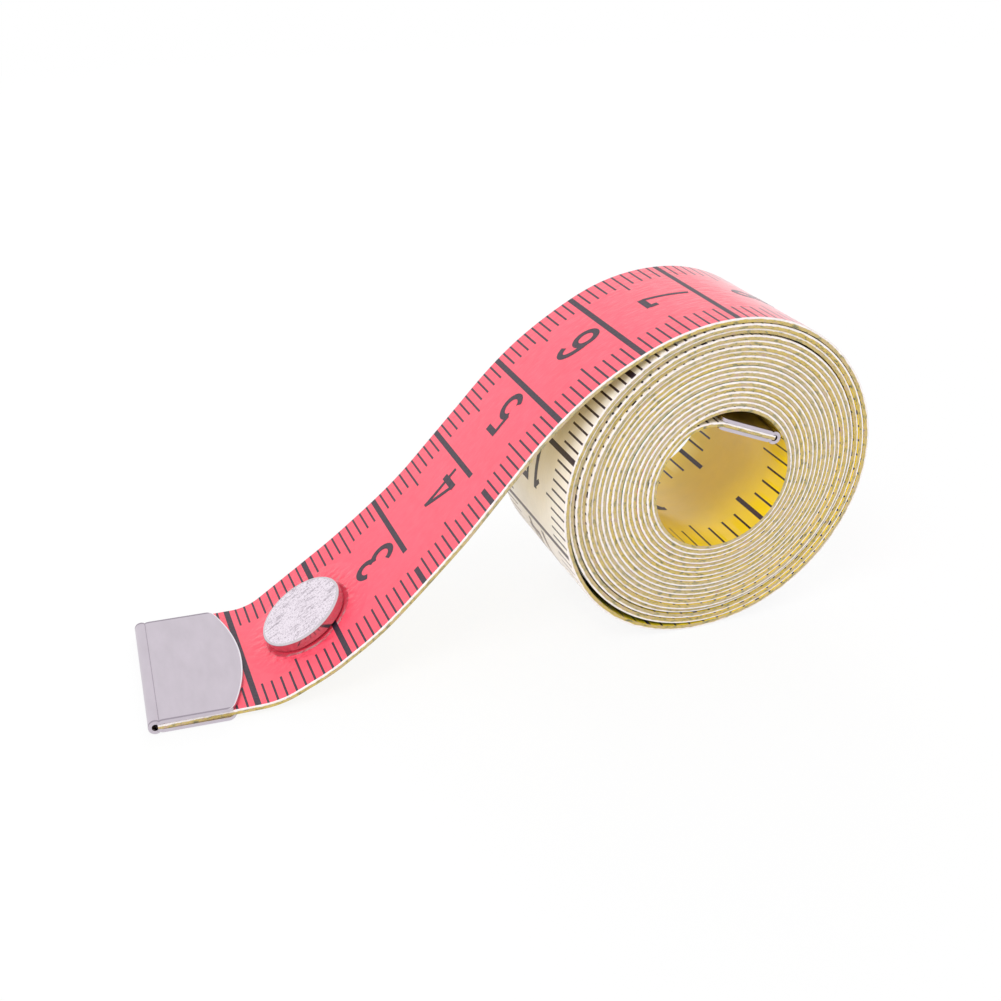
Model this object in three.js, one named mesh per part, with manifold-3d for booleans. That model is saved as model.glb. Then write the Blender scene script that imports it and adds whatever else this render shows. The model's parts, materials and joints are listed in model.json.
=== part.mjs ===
// Tailor's tape measure: a printed ribbon wound into a roll that stands on its rim.
// The outer part of the outermost turn peels off the roll as short links, and the free
// end runs down to the surface as more links, with a folded metal clip at the zero mark
// and a press fastener just behind it. The inner end lies across the eye of the roll.
//
// Millimetres, +Z up. X runs from the zero end to the roll, Y along the roll's axis.
// The origin is on the surface that the part stands on, under the middle of the part.

import * as THREE from "three";
import { mergeVertices } from "three/addons/utils/BufferGeometryUtils.js";
import Module from "manifold-3d";

const wasm = await Module();
wasm.setup();

// Tape
const TAPE_WIDTH = 20;
const TAPE_THICK = 0.45;
const LINK_GAP = 0.3;
const LINK_STEP = 2.6;

// Roll: an oval spiral, angles in degrees clockwise from the top, seen along +Y
const ROLL_RADIUS = 16.5;
const TURN_PITCH = 0.5;
const OVAL = 0.85;
const OVAL_AT = 52;
const SLACK = 0.4;
const SLACK_AT = 222;
const SLACK_SPREAD = 50;
const TURNS = 18;
const TOP_ANGLE = 5;
const ROLL_WALL = 0.08;
const STEPS_PER_TURN = 24;
const LEAST_TURN_GAP = 0.4;

// Part of the outermost turn that peels off
const PEEL_ANGLE = 125;
const PEEL_LINKS = 5;
const PEEL_SEAT = 0.12;
const STEPS_PER_PEEL_LINK = 4;

// Free end, from the roll's top to the zero mark: lengths, and slopes in degrees
const SHOULDER_LENGTH = 9;
const SHOULDER_SLOPE = 26.5;
const UPPER_BEND = 15.8;
const STRAIGHT_RUN = 9;
const LOWER_BEND = 14;
const BUTTON_FLAT = 8;
const BUTTON_SLOPE = 33;
const TOE_BEND = 3.4;
const ZERO_FLAT = 10.5;
const CLIP_TILT = 0;
const UPPER_TAIL_LINKS = 4;
const STEEPEST_SLOPE = 70;
const SLOPE_ROUNDS = 50;
const PATH_STEP = 1;

// Folded end clips
const CLIP_LENGTH = 9.8;
const CLIP_BOW = 1.9;
const CLIP_SHEET = 0.25;
const CLIP_FIT = 0.15;
const CLIP_TONGUE_GAP = 0.3;
const FOLD_STEPS = 6;
const BOW_STEPS = 12;

// Inner end of the tape, across the eye
const INNER_ANGLE = -5;
const INNER_LENGTH = 7.8;
const INNER_SLOPE = 22.5;
const INNER_DROP = 0.9;
const INNER_CLIP_LENGTH = 6.9;
const INNER_CLIP_BOW = 0.9;

// Press fastener
const BUTTON_FROM_ZERO = 17.8;
const FASTENER_SIDES = 32;
const SEAT_GAP = 0.2;
const RIVET_FIT = 0.15;
const CAP_RADIUS = 4.45;
const CAP_HEIGHT = 1;
const CAP_BEVEL = 0.2;
const RIVET_RADIUS = 1.4;
const SOCKET_RADIUS = 3.8;
const SOCKET_HEIGHT = 1.1;
const SOCKET_PLATE = 0.25;
const SOCKET_MOUTH = 1.9;
const SOCKET_LIP = 0.2;
const SPRING_WIRE = 0.3;
const SPRING_RADIUS = 2.1;
const SPRING_FIT = 0.1;
const SPRING_SPLIT = 30;
const SPRING_SIDES = 6;
const SPRING_STEPS = 28;
const STUD_STEP = 1;
const STUD_FLANGE = 3;
const STUD_FLANGE_THICK = 0.35;
const STUD_NECK = 1.25;
const STUD_HEAD = 1.6;
const STUD_HEIGHT = 1.8;
const STUD_TIP = 0.9;
const EYELET_FLANGE = 1.7;
const EYELET_SHEET = 0.14;
const EYELET_RIVET = 0.7;
const EYELET_SEAT = 0.12;
const EYELET_REACH = 0.9;

// Distances below these count as none
const SAME_CORNER = 1e-5;
const SAME_LENGTH = 1e-9;

const rad = THREE.MathUtils.degToRad;

const MATERIALS = {
  red: { color: 0xf0606f, roughness: 0.5, metalness: 0 },
  edge: { color: 0xe6d79c, roughness: 0.6, metalness: 0 },
  yellow: { color: 0xd9b93c, roughness: 0.55, metalness: 0 },
  tin: { color: 0xb9b3bb, roughness: 0.35, metalness: 0.9 },
  silver: { color: 0xdcdcdc, roughness: 0.25, metalness: 1 },
  wire: { color: 0x9a9a9a, roughness: 0.4, metalness: 1 },
};

// Paths in the XZ plane, measured from the roll's centre

const at = (x, z) => new THREE.Vector2(x, z);

function polar(radius, degrees) {
  return at(radius * Math.sin(rad(degrees)), radius * Math.cos(rad(degrees)));
}

// The spiral's outside face. Angles grow along the tape, from the roll's top to its eye.
function turnRadius(degrees) {
  const wound = (degrees - TOP_ANGLE) / 360;
  const oval = OVAL * Math.cos(2 * rad(degrees - OVAL_AT));
  const away = (degrees - SLACK_AT) / SLACK_SPREAD;
  const slack = Math.abs(away) < 1 ? SLACK * Math.cos((away * Math.PI) / 2) ** 2 : 0;
  return ROLL_RADIUS - TURN_PITCH * wound + oval + slack;
}

function sideways(path, index) {
  const before = path[Math.max(index - 1, 0)];
  const after = path[Math.min(index + 1, path.length - 1)];
  const along = after.clone().sub(before).normalize();
  return at(-along.y, along.x);
}

function offset(path, distance) {
  return path.map((point, i) => point.clone().addScaledVector(sideways(path, i), distance));
}

// The middle of the tape where it peels: it rests on the turn below.
function peelPoint(degrees) {
  return polar(turnRadius(degrees + 360) + PEEL_SEAT + TAPE_THICK / 2, degrees);
}

// A chain of closely set points from the roll's top to the zero mark.
// Each stretch has a length and the slope that it ends with, and slopes change evenly.
function tailPath(straightSlope) {
  const start = peelPoint(TOP_ANGLE);
  const lead = start.clone().sub(peelPoint(TOP_ANGLE + 1));
  let slope = Math.atan2(-lead.y, -lead.x);
  const stretches = [
    [SHOULDER_LENGTH, rad(SHOULDER_SLOPE)],
    [UPPER_BEND, straightSlope],
    [STRAIGHT_RUN, straightSlope],
    [LOWER_BEND, rad(BUTTON_SLOPE)],
    [BUTTON_FLAT, rad(BUTTON_SLOPE)],
    [TOE_BEND, rad(CLIP_TILT)],
    [ZERO_FLAT, rad(CLIP_TILT)],
  ];
  const points = [{ point: start, fromTop: 0, slope }];
  let fromTop = 0;
  let here = start;
  for (const [length, endSlope] of stretches) {
    const steps = Math.ceil(length / PATH_STEP);
    const turn = (endSlope - slope) / steps;
    for (let i = 0; i < steps; i += 1) {
      const middle = slope + turn / 2;
      const reach = length / steps;
      here = at(here.x - reach * Math.cos(middle), here.y - reach * Math.sin(middle));
      slope += turn;
      fromTop += reach;
      points.push({ point: here, fromTop, slope });
    }
  }
  return points;
}

const clipHalfThick = TAPE_THICK / 2 + CLIP_FIT + CLIP_SHEET;

function coilAngles() {
  const step = 360 / STEPS_PER_TURN;
  const first = TOP_ANGLE + PEEL_ANGLE;
  const count = Math.round((TURNS * 360 + INNER_ANGLE - first) / step);
  return Array.from({ length: count + 1 }, (_, i) => first + i * step);
}

const coilOutside = coilAngles().map((degrees) => polar(turnRadius(degrees), degrees));
const coilInside = offset(coilOutside, -ROLL_WALL);
const surface = Math.min(...coilOutside.map((point) => point.y));

// The straight run is as steep as it takes for the clip's outer end to reach the surface.
function settledTail() {
  let gentle = rad(BUTTON_SLOPE);
  let steep = rad(STEEPEST_SLOPE);
  for (let i = 0; i < SLOPE_ROUNDS; i += 1) {
    const middle = (gentle + steep) / 2;
    const end = tailPath(middle).at(-1);
    const lowest = end.point.y - clipHalfThick * Math.cos(end.slope);
    if (lowest > surface) {
      gentle = middle;
    } else {
      steep = middle;
    }
  }
  return tailPath(gentle);
}

const tail = settledTail();
const tailLength = tail.at(-1).fromTop;

function tailAt(fromTop) {
  const after = tail.findIndex((entry) => entry.fromTop >= fromTop - SAME_LENGTH);
  const b = tail[Math.max(after, 1)];
  const a = tail[Math.max(after, 1) - 1];
  const part = (fromTop - a.fromTop) / (b.fromTop - a.fromTop);
  return {
    point: a.point.clone().lerp(b.point, part),
    slope: a.slope + (b.slope - a.slope) * part,
  };
}

function stretch(from, to, pointAt, spacing) {
  const steps = Math.max(1, Math.ceil(Math.abs(to - from) / spacing));
  return Array.from({ length: steps + 1 }, (_, i) => pointAt(from + ((to - from) * i) / steps));
}

// Solids

function solidFrom(positions, triangles) {
  const geometry = new THREE.BufferGeometry();
  geometry.setAttribute("position", new THREE.Float32BufferAttribute(positions, 3));
  geometry.setIndex(triangles);
  return geometry;
}

// A ribbon between two paths of as many points, as wide as the tape.
function ribbon(outside, inside, width = TAPE_WIDTH) {
  const positions = [];
  for (let i = 0; i < outside.length; i += 1) {
    for (const point of [outside[i], inside[i]]) {
      positions.push(point.x, -width / 2, point.y, point.x, width / 2, point.y);
    }
  }
  const triangles = [];
  const quad = (a, b, c, d) => triangles.push(a, b, c, a, c, d);
  const corners = (i) => [0, 1, 2, 3].map((k) => 4 * i + k);
  for (let i = 0; i + 1 < outside.length; i += 1) {
    const [outNear, outFar, inNear, inFar] = corners(i);
    const [nextOutNear, nextOutFar, nextInNear, nextInFar] = corners(i + 1);
    quad(outNear, outFar, nextOutFar, nextOutNear);
    quad(inFar, inNear, nextInNear, nextInFar);
    quad(inNear, outNear, nextOutNear, nextInNear);
    quad(outFar, inFar, nextInFar, nextOutFar);
  }
  const [firstOutNear, firstOutFar, firstInNear, firstInFar] = corners(0);
  const [lastOutNear, lastOutFar, lastInNear, lastInFar] = corners(outside.length - 1);
  quad(firstOutFar, firstOutNear, firstInNear, firstInFar);
  quad(lastOutNear, lastOutFar, lastInFar, lastInNear);
  return outward(solidFrom(positions, triangles));
}

// The tape itself, along the middle of its thickness.
function tapeAlong(middle) {
  return ribbon(offset(middle, TAPE_THICK / 2), offset(middle, -TAPE_THICK / 2));
}

function signedVolume(geometry) {
  const p = geometry.attributes.position;
  const index = geometry.index;
  const [a, b, c] = [new THREE.Vector3(), new THREE.Vector3(), new THREE.Vector3()];
  let sum = 0;
  for (let i = 0; i < index.count; i += 3) {
    a.fromBufferAttribute(p, index.getX(i));
    b.fromBufferAttribute(p, index.getX(i + 1));
    c.fromBufferAttribute(p, index.getX(i + 2));
    sum += a.dot(b.cross(c));
  }
  return sum / 6;
}

function outward(geometry) {
  if (signedVolume(geometry) < 0) {
    const order = geometry.index.array;
    for (let i = 0; i < order.length; i += 3) {
      [order[i], order[i + 1]] = [order[i + 1], order[i]];
    }
  }
  return geometry;
}

function merged(geometry) {
  const bare = geometry.clone();
  bare.deleteAttribute("normal");
  bare.deleteAttribute("uv");
  return mergeVertices(bare, SAME_CORNER);
}

function toManifold(geometry) {
  const bare = outward(merged(geometry));
  const vertProperties = new Float32Array(bare.attributes.position.array);
  const triVerts = new Uint32Array(bare.index.array);
  return new wasm.Manifold(new wasm.Mesh({ numProp: 3, vertProperties, triVerts }));
}

function fromManifold(solid) {
  const mesh = solid.getMesh();
  return solidFrom(Array.from(mesh.vertProperties), Array.from(mesh.triVerts));
}

// A turned piece about its own Z axis, from points of [radius, height].
function turned(profile) {
  const points = profile.map(([radius, height]) => at(radius, height));
  const geometry = new THREE.LatheGeometry(points, FASTENER_SIDES);
  geometry.rotateX(Math.PI / 2);
  return outward(merged(geometry));
}

// Moves a piece from its own frame onto the tape: its Z axis becomes the way out of the
// tape at a point, given by its angle clockwise from straight up.
function seated(geometry, point, degrees) {
  const copy = geometry.clone();
  copy.rotateY(rad(degrees));
  copy.translate(point.x, 0, point.y);
  return copy;
}

function rod(radius, low, high) {
  const geometry = new THREE.CylinderGeometry(radius, radius, high - low, FASTENER_SIDES);
  geometry.rotateX(Math.PI / 2);
  geometry.translate(0, 0, (low + high) / 2);
  return geometry;
}

const group = new THREE.Group();

function add(name, geometry, material) {
  const mesh = new THREE.Mesh(geometry, new THREE.MeshStandardMaterial(MATERIALS[material]));
  mesh.name = name;
  group.add(mesh);
  return mesh;
}

// Roll

// The least distance between points of one turn and the faces of the turn inside it.
function leastTurnGap() {
  const reach = 2;
  let least = Infinity;
  for (let i = 0; i + STEPS_PER_TURN < coilOutside.length; i += 1) {
    const from = coilInside[i];
    for (let j = i + STEPS_PER_TURN - reach; j < i + STEPS_PER_TURN + reach; j += 1) {
      if (j + 1 < coilOutside.length) {
        const a = coilOutside[j];
        const run = coilOutside[j + 1].clone().sub(a);
        const part = THREE.MathUtils.clamp(from.clone().sub(a).dot(run) / run.lengthSq(), 0, 1);
        least = Math.min(least, from.distanceTo(a.clone().addScaledVector(run, part)));
      }
    }
  }
  return least;
}

const turnGap = leastTurnGap();
console.log(`least gap between turns ${turnGap.toFixed(3)} mm, wanted over ${LEAST_TURN_GAP} mm`);

// The stud sits in the middle of one flat step of the outermost turn.
const studPoint = coilOutside[STUD_STEP].clone().lerp(coilOutside[STUD_STEP + 1], 0.5);
const studRun = coilOutside[STUD_STEP + 1].clone().sub(coilOutside[STUD_STEP]);
const studAngle = THREE.MathUtils.radToDeg(Math.atan2(-studRun.y, studRun.x));

function makeRoll() {
  const hole = rod(EYELET_RIVET + RIVET_FIT, -ROLL_WALL - EYELET_SEAT, SEAT_GAP);
  const cutter = toManifold(seated(hole, studPoint, studAngle));
  const wound = toManifold(ribbon(coilOutside, coilInside));
  add("tape_roll", fromManifold(wound.subtract(cutter)), "edge");
}

// Links of the tape

const hinges = [];

function makePeelLinks() {
  const linkAngle = PEEL_ANGLE / PEEL_LINKS;
  const stepAngle = linkAngle / STEPS_PER_PEEL_LINK;
  const first = TOP_ANGLE + PEEL_ANGLE;
  for (let i = 0; i < PEEL_LINKS; i += 1) {
    const start = first - i * linkAngle;
    const gapAngle = THREE.MathUtils.radToDeg(LINK_GAP / 2 / turnRadius(start));
    const middle = stretch(start - gapAngle, start - linkAngle + gapAngle, peelPoint, stepAngle);
    add(`tape_turn_${i + 1}`, tapeAlong(middle), "red");
    hinges.push({ name: `peel_${i + 1}`, point: peelPoint(start) });
  }
}

// Where the tail's links meet, counted from the roll's top.
function tailJoints() {
  const clipJoint = tailLength - ZERO_FLAT - CLIP_TONGUE_GAP - LINK_GAP / 2;
  const buttonJoint = tailLength - BUTTON_FROM_ZERO - CAP_RADIUS - SEAT_GAP - LINK_GAP;
  const upper = Array.from(
    { length: UPPER_TAIL_LINKS },
    (_, i) => (buttonJoint * i) / UPPER_TAIL_LINKS,
  );
  return [...upper, buttonJoint, clipJoint];
}

function makeTailLinks() {
  const joints = tailJoints();
  const button = buttonPlace();
  joints.forEach((start, i) => {
    const isLast = i === joints.length - 1;
    const end = isLast ? tailLength - CLIP_SHEET - CLIP_FIT : joints[i + 1] - LINK_GAP / 2;
    const middle = stretch(start + LINK_GAP / 2, end, (d) => tailAt(d).point, LINK_STEP);
    let geometry = tapeAlong(middle);
    if (i === joints.length - 2) {
      const hole = rod(RIVET_RADIUS + RIVET_FIT, -TAPE_THICK - SEAT_GAP, SEAT_GAP);
      const cutter = toManifold(seated(hole, button.point, button.angle));
      geometry = fromManifold(toManifold(geometry).subtract(cutter));
    }
    add(`tape_tail_${i + 1}`, geometry, "red");
    hinges.push({ name: `tail_${i + 1}`, point: tailAt(start).point });
  });
}

// The printed face under the press fastener.
function buttonPlace() {
  const { point, slope } = tailAt(tailLength - BUTTON_FROM_ZERO);
  const out = at(-Math.sin(slope), Math.cos(slope));
  return {
    point: point.clone().addScaledVector(out, TAPE_THICK / 2),
    angle: THREE.MathUtils.radToDeg(-slope),
  };
}

// Folded clips

// The clip's own frame: the fold is at X = 0, the plates run along +X, Z = 0 is between them.
function clipGeometry(length, bow) {
  const half = clipHalfThick;
  const inner = half - CLIP_SHEET;
  const fold = (radius) =>
    Array.from({ length: FOLD_STEPS + 1 }, (_, i) => {
      const turn = rad(90 + (180 * i) / FOLD_STEPS);
      return at(half + radius * Math.cos(turn), radius * Math.sin(turn));
    });
  const outside = [at(length, half), ...fold(half), at(length, -half)];
  const inside = [at(length, inner), ...fold(inner), at(length, -inner)];
  const sheet = toManifold(ribbon(outside, inside));

  const edge = length - bow;
  const outline = new THREE.Shape();
  outline.moveTo(-half, -TAPE_WIDTH);
  outline.lineTo(edge, -TAPE_WIDTH);
  for (let i = 0; i <= BOW_STEPS; i += 1) {
    const across = (2 * i) / BOW_STEPS - 1;
    outline.lineTo(edge + bow * (1 - across * across), (across * TAPE_WIDTH) / 2);
  }
  outline.lineTo(edge, TAPE_WIDTH);
  outline.lineTo(-half, TAPE_WIDTH);
  const stencil = new THREE.ExtrudeGeometry(outline, { depth: 4 * half, bevelEnabled: false });
  stencil.translate(0, 0, -2 * half);
  return fromManifold(sheet.intersect(toManifold(stencil)));
}

function makeZeroClip() {
  const { point, slope } = tail.at(-1);
  const clip = clipGeometry(CLIP_LENGTH, CLIP_BOW);
  add("zero_end_clip", seated(clip, point, -THREE.MathUtils.radToDeg(slope)), "tin");
}

function makeInnerEnd() {
  const lastAngle = coilAngles().at(-1);
  const wall = coilInside.at(-1);
  const angle = rad(INNER_SLOPE);
  const along = at(Math.cos(angle), -Math.sin(angle));
  const root = wall.clone().add(polar(-INNER_DROP, lastAngle)).addScaledVector(along, LINK_GAP / 2);
  const tip = root.clone().addScaledVector(along, INNER_LENGTH);
  const tapeEnd = INNER_LENGTH - CLIP_SHEET - CLIP_FIT;
  const flapAt = (distance) => root.clone().addScaledVector(along, distance);
  const middle = stretch(LINK_GAP / 2, tapeEnd, flapAt, INNER_LENGTH);
  add("tape_inner_end", tapeAlong(middle), "yellow");
  hinges.push({ name: "inner_end", point: root });
  const clip = clipGeometry(INNER_CLIP_LENGTH, INNER_CLIP_BOW);
  add("inner_end_clip", seated(clip, tip, 180 + INNER_SLOPE), "tin");
}

// Press fastener

function makeSnapHead() {
  const { point, angle } = buttonPlace();
  const place = (geometry) => seated(geometry, point, angle);
  const socketTop = -TAPE_THICK - SEAT_GAP;
  const socketFloor = socketTop - SOCKET_HEIGHT;
  const plateUnder = socketTop - SOCKET_PLATE;
  const capTop = SEAT_GAP + CAP_HEIGHT;

  const cap = turned([
    [0, plateUnder + RIVET_FIT],
    [RIVET_RADIUS, plateUnder + RIVET_FIT],
    [RIVET_RADIUS, SEAT_GAP],
    [CAP_RADIUS, SEAT_GAP],
    [CAP_RADIUS, capTop - CAP_BEVEL],
    [CAP_RADIUS - CAP_BEVEL, capTop],
    [0, capTop],
  ]);
  add("snap_cap", place(cap), "silver");

  const grooveReach = SPRING_RADIUS + SPRING_WIRE / 2 + SPRING_FIT;
  const grooveFloor = socketFloor + SOCKET_LIP;
  const grooveRoof = grooveFloor + SPRING_WIRE + 2 * SPRING_FIT;
  const socket = turned([
    [RIVET_RADIUS + RIVET_FIT, socketTop],
    [RIVET_RADIUS + RIVET_FIT, plateUnder],
    [SOCKET_MOUTH, plateUnder],
    [SOCKET_MOUTH, grooveRoof],
    [grooveReach, grooveRoof],
    [grooveReach, grooveFloor],
    [SOCKET_MOUTH, grooveFloor],
    [SOCKET_MOUTH, socketFloor],
    [SOCKET_RADIUS, socketFloor],
    [SOCKET_RADIUS, socketTop],
    [RIVET_RADIUS + RIVET_FIT, socketTop],
  ]);
  add("snap_socket", place(socket), "silver");

  const split = rad(SPRING_SPLIT);
  const ring = new THREE.Shape().absarc(0, 0, SPRING_WIRE / 2, 0, 2 * Math.PI);
  const loop = new THREE.CatmullRomCurve3(
    Array.from({ length: SPRING_STEPS + 1 }, (_, i) => {
      const turn = split / 2 + ((2 * Math.PI - split) * i) / SPRING_STEPS;
      const height = (grooveFloor + grooveRoof) / 2;
      return new THREE.Vector3(SPRING_RADIUS * Math.cos(turn), SPRING_RADIUS * Math.sin(turn), height);
    }),
  );
  const spring = new THREE.ExtrudeGeometry(ring, {
    steps: SPRING_STEPS,
    curveSegments: SPRING_SIDES,
    extrudePath: loop,
  });
  add("snap_spring", place(outward(merged(spring))), "wire");
}

function makeSnapStud() {
  const place = (geometry) => seated(geometry, studPoint, studAngle);
  const bore = EYELET_RIVET + RIVET_FIT;
  const boreTop = EYELET_REACH + RIVET_FIT;
  const flangeTop = SEAT_GAP + STUD_FLANGE_THICK;
  const headMiddle = (flangeTop + STUD_HEIGHT) / 2;
  const stud = turned([
    [0, boreTop],
    [bore, boreTop],
    [bore, SEAT_GAP],
    [STUD_FLANGE, SEAT_GAP],
    [STUD_FLANGE, flangeTop],
    [STUD_NECK, flangeTop],
    [STUD_HEAD, headMiddle],
    [STUD_TIP, STUD_HEIGHT],
    [0, STUD_HEIGHT],
  ]);
  add("snap_stud", place(stud), "silver");

  const flangeFace = -ROLL_WALL - EYELET_SEAT;
  const eyelet = turned([
    [0, flangeFace - EYELET_SHEET],
    [EYELET_FLANGE, flangeFace - EYELET_SHEET],
    [EYELET_FLANGE, flangeFace],
    [EYELET_RIVET, flangeFace],
    [EYELET_RIVET, EYELET_REACH],
    [0, EYELET_REACH],
  ]);
  add("snap_eyelet", place(eyelet), "silver");
}

makeRoll();
makePeelLinks();
makeTailLinks();
makeZeroClip();
makeInnerEnd();
makeSnapHead();
makeSnapStud();

// The part stands on its lowest face, under the middle of its box.
const box = new THREE.Box3().setFromObject(group);
group.position.set(-(box.min.x + box.max.x) / 2, -(box.min.y + box.max.y) / 2, -box.min.z);
group.updateMatrixWorld(true);

// Hinge lines, along Y, in the part's own frame.
export const hingeLines = hinges.map(({ name, point }) => ({
  name,
  x: point.x + group.position.x,
  z: point.y + group.position.z,
}));

export default group;
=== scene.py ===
# Looks of a tailor's tape measure: a printed ribbon rolled on its rim, with a folded metal clip
# at each end and a press stud. The frame is the part's own: X from the zero end to the roll,
# Y across the tape, Z up. Sizes are in millimetres until meshes are made. Places along the tape
# are counted from the zero mark, and a lift is measured from the middle of its thickness
# towards the printed face.

import json

import bpy
import numpy as np
from mathutils import Matrix, Vector


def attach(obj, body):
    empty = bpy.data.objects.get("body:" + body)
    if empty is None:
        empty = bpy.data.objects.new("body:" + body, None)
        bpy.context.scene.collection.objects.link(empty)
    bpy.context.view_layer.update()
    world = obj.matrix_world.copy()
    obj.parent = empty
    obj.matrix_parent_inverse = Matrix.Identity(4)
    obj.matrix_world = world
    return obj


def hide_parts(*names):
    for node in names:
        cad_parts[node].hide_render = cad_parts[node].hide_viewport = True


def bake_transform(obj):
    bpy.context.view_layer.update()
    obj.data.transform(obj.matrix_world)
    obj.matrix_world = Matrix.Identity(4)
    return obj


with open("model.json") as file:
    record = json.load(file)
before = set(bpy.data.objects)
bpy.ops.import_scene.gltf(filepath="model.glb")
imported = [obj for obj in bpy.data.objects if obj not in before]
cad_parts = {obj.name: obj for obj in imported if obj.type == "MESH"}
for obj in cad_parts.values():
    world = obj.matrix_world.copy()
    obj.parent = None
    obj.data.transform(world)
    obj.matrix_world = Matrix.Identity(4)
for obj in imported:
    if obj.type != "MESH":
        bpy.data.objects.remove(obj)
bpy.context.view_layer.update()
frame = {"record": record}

MM = 0.001

# Tape
TAPE_WIDTH = 20.0
TAPE_THICK = 0.46
CAD_THICK = 0.45
HALF_WIDTH = TAPE_WIDTH / 2
HALF_THICK = TAPE_THICK / 2
EDGE_BEVEL_ACROSS = 0.05
EDGE_BEVEL_DEEP = 0.04
FRAY = 0.02
FRAY_PITCHES = (0.71, 1.3, 2.9)
FRAY_SEED = 4
SWELL = 0.2
SWELL_FADES = (60, 130)
TURN_FILL = 0.95

# Roll: an oval spiral, angles in degrees clockwise from the top, seen along +Y
ROLL_RADIUS = 16.5
TURN_PITCH = 0.5
OVAL = 0.85
OVAL_AT = 52
SLACK = 0.4
SLACK_AT = 222
SLACK_SPREAD = 50
TURNS = 18
TOP_ANGLE = 5
ANGLE_STEP = 0.25
PEEL_SEAT = 0.12
PEEL_SETTLES = (100, 140)
LOOSE_SHARE = 0.1
LOOSE_TURN = (2.2, 3.0)
EYE_RADIUS = 7.25
EYE_OVAL = 0.35
EYE_SHIFT = 0.6
EYE_SHIFT_AT = 125
INNER_LEAVES = 325

# Free end, from the roll's top to the zero mark: lengths, and slopes in degrees
SHOULDER = (9.0, 26.5)
UPPER_BEND = 15.8
STRAIGHT_RUN = 9.0
LOWER_BEND = 14.0
BUTTON_FLAT = (8.0, 33.0)
TOE_BEND = 3.4
ZERO_FLAT = 10.5
STEEPEST_SLOPE = 70.0
SLOPE_ROUNDS = 50
EDGE_HANG = 0.88
HANG_GROWS = (11, 19)
HANG_FADES = (21, 35)
MIDDLE_SAG = 0.25
SAG_GROWS = (26, 36)
SAG_FADES = (44, 54)
EDGE_RISE = 0.35
RISE_GROWS = (34, 48)
RISE_FADES = (54, 66)
CAD_CLIP_HALF = 0.625

# Inner end across the eye
INNER_SLOPE = 22.5
INNER_LENGTH = 7.8
INNER_STRAIGHT_FROM = 1.6
INNER_BEND_POINTS = 80
INNER_BLEND = 3.2
INNER_TAPE_STOP = 0.65
INNER_TWIST = 1.5
INNER_TWISTED_BEFORE_END = 4

# Print; a known mark on the back lies so many degrees of winding before the roll's inner end
BLOCK_LENGTH = 100
TICK_WIDTH = 0.23
TICK_LENGTH = 3.8
FIVE_LENGTH = 5.2
CM_WIDTH = 0.6
INCH = 25.4
BACK_TICK = INCH / 16
HALF_INCH_WIDTH = 0.5
HALF_INCH_LENGTH = 5.7
BACK_MARK_BEFORE_END = 189.2
BACK_MARK_INCHES = 1.5
CUT_LINES = (30, 40)
CUT_LINE_END = -3.0
CUT_MARK_LENGTH = 3.2
INK_HEIGHT = 0.012
INK_DEPTH = 0.03
INK_LAYER = 0.002
FIGURE_GAP = 0.7
FIGURE_HEIGHT = 5.1
FIGURE_STROKE = 0.72
FIGURE_THIN = 0.5
FIGURE_SPACING = 3.5
LINE_POINTS = 8
FIRST_FIGURE = 3
LAST_FIGURE = 17
EYE_FIGURES = 3
TAIL_INCHES = 6

# Rows and columns of the tape's mesh; its rows lie closer on the wall of the eye
FREE_STEP = 0.35
INNER_STEP = 0.3
ROLL_STEP = 0.5
EYE_WALL = 52.0
EYE_WALL_FINER = 4
ROW_GAP = 0.01
FINE_COLUMNS = 24

# Where the tape's pieces meet, between the printed figures, from the zero mark
TAIL_CUTS = (0.52, 17.5, 29.5, 40.4, 52.1, 63.8)
PEEL_CUTS = (73.6, 81.0, 89.5, 93.8, 103.2, 109.5)
TAIL_LINKS = len(TAIL_CUTS)
TURN_LINKS = len(PEEL_CUTS) - 1
CLIP_BEND = (10.6, 12.6)
BUTTON_BEND = (22.4, 28.6)

BUTTON_FROM_ZERO = 17.8
STUD_ANGLE = 152.5


def srgb(red, green, blue):
    def linear(value):
        value /= 255
        return value / 12.92 if value <= 0.04045 else ((value + 0.055) / 1.055) ** 2.4

    return (linear(red), linear(green), linear(blue), 1.0)


# Camera, as fitted to the printed scale in the photograph
CAMERA_AT = (-41.07, -132.8, 76.24)
CAMERA_RIGHT = (0.9485, -0.3151, -0.0337)
CAMERA_AHEAD = (0.2739, 0.8687, -0.4126)
CAMERA_LENS = 53.62
SENSOR_WIDTH = 36
NEAREST_SEEN = 0.005


def make_camera():
    data = bpy.data.cameras.new("camera")
    data.lens = CAMERA_LENS
    data.sensor_width = SENSOR_WIDTH
    data.clip_start = NEAREST_SEEN
    camera = bpy.data.objects.new("camera", data)
    bpy.context.scene.collection.objects.link(camera)
    right = Vector(CAMERA_RIGHT).normalized()
    back = -Vector(CAMERA_AHEAD).normalized()
    up = back.cross(right).normalized()
    turn = Matrix((right, up, back)).transposed().to_4x4()
    camera.matrix_world = Matrix.Translation(Vector(CAMERA_AT) * MM) @ turn
    bpy.context.scene.camera = camera


make_camera()


# Path of the tape's middle in the XZ plane


def cosine(degrees):
    return np.cos(np.radians(degrees))


def polar(radius, degrees):
    return np.stack([radius * np.sin(np.radians(degrees)), radius * cosine(degrees)], -1)


def smooth(low, high, value):
    part = np.clip((value - low) / (high - low), 0, 1)
    return part * part * (3 - 2 * part)


def slack(degrees):
    away = np.clip((degrees - SLACK_AT) / SLACK_SPREAD, -1, 1)
    return SLACK * np.cos(away * np.pi / 2) ** 2


def wound(degrees):
    return (degrees - TOP_ANGLE) / 360


def rim_radius(degrees):
    return ROLL_RADIUS + OVAL * cosine(2 * (degrees - OVAL_AT))


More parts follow.
